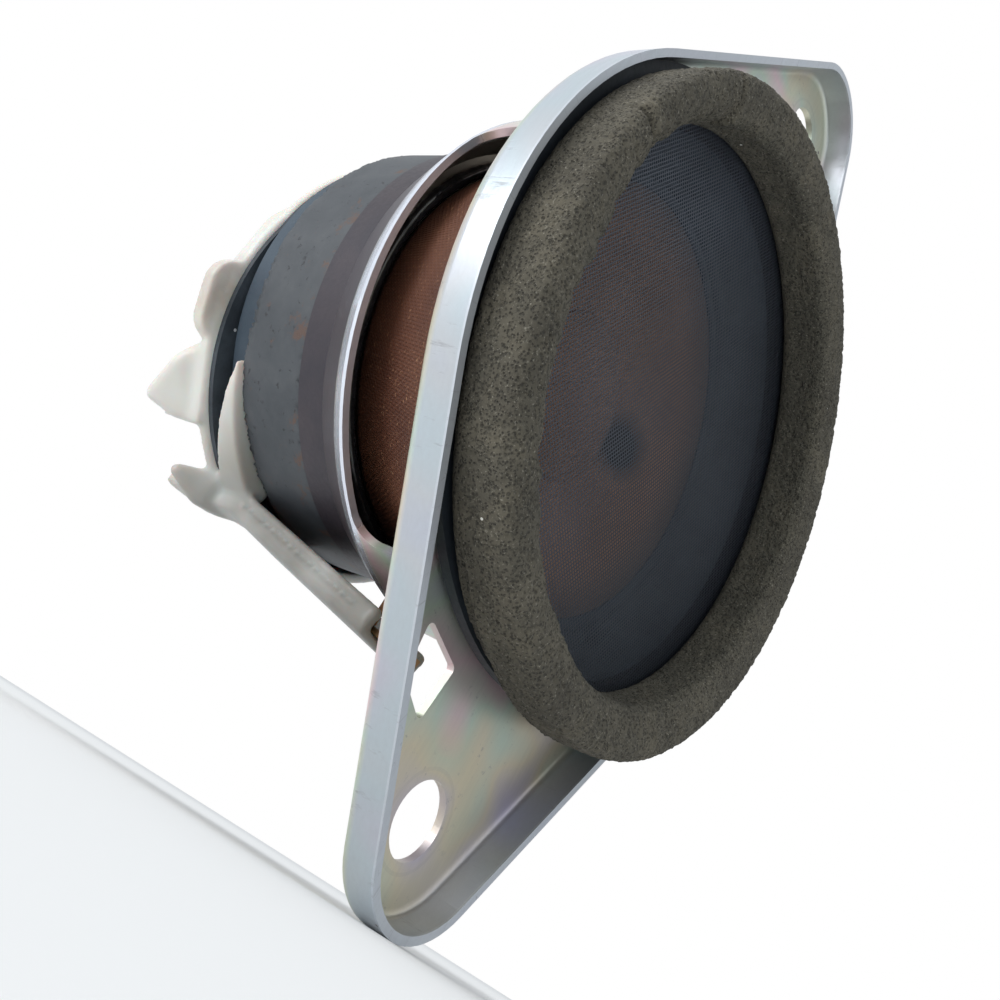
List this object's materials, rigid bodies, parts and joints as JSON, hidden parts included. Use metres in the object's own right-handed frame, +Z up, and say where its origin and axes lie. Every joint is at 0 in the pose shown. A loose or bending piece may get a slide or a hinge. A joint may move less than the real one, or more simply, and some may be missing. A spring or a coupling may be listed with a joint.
{
  "type": "car tweeter",
  "caption": "Small cone car tweeter: two-eared pressed steel flange and windowed basket, foam gasket, mesh screen, ring magnet and white moulded rear housing.",
  "frame": {"origin": "middle between the two mounting holes, on the flange's rear face and the speaker's axis", "axes": "-Y out of the front along the speaker's axis, +Z up through the two mounting holes, +X to the right seen from the front"},
  "size_m": [0.0633, 0.0528, 0.0974],
  "materials": {
    "plated_steel": "zinc plated and passivated, rolled grain, edge burrs and scratches",
    "black_gasket": "matt black",
    "foam": "open-cell foam, dusty",
    "screen_cloth": "fine black woven mesh",
    "brown_cloth": "fine resin-treated weave",
    "sealing_glue": "glossy black adhesive",
    "surround_rubber": "satin, ribbed in rings",
    "cone_cloth": "fine woven cloth",
    "aluminium_foil": "thin foil",
    "copper_wire": "enamelled copper winding",
    "spider_cloth": "phenolic-treated weave",
    "braid": "braided copper",
    "solder": "bright solder",
    "plate_steel": "dark passivated steel",
    "rivet_steel": "staked steel",
    "ferrite": "fired ferrite with chipped edge",
    "yoke_steel": "dark blue-grey passivated steel",
    "white_nylon": "natural nylon, slightly yellowed",
    "terminal_brass": "stamped, browned",
    "film_cap": "dipped resin",
    "seal_fibre": "dark oiled fibre",
    "tinned_wire": "tinned copper"
  },
  "bodies": {
    "frame": {"basket": "plated_steel", "gasket_ring": "black_gasket", "foam_gasket": "foam", "dust_screen": "screen_cloth", "window_cloth": "brown_cloth", "cloth_bead": "sealing_glue", "surround": "surround_rubber", "spider": "spider_cloth", "tinsel_leads": "braid", "top_plate": "plate_steel", "plate_rivets": "rivet_steel", "ferrite_magnet": "ferrite", "yoke": "yoke_steel", "housing_seal": "seal_fibre", "rear_housing": "white_nylon", "terminal_positive": "terminal_brass", "terminal_negative": "terminal_brass", "capacitor": "film_cap", "capacitor_leads": "tinned_wire"},
    "diaphragm": {"cone": "cone_cloth", "dust_cap": "cone_cloth", "voice_coil_former": "aluminium_foil", "voice_coil": "copper_wire", "lead_eyelets": "solder"}
  },
  "joints": [
    {"name": "cone_travel", "type": "slide", "parent": "frame", "child": "diaphragm", "axis": [0, -1, 0], "range_m": [-0.0008, 0.0008], "stiffness_N_per_m": 1500, "deforming": ["surround", "spider", "tinsel_leads"]}
  ]
}
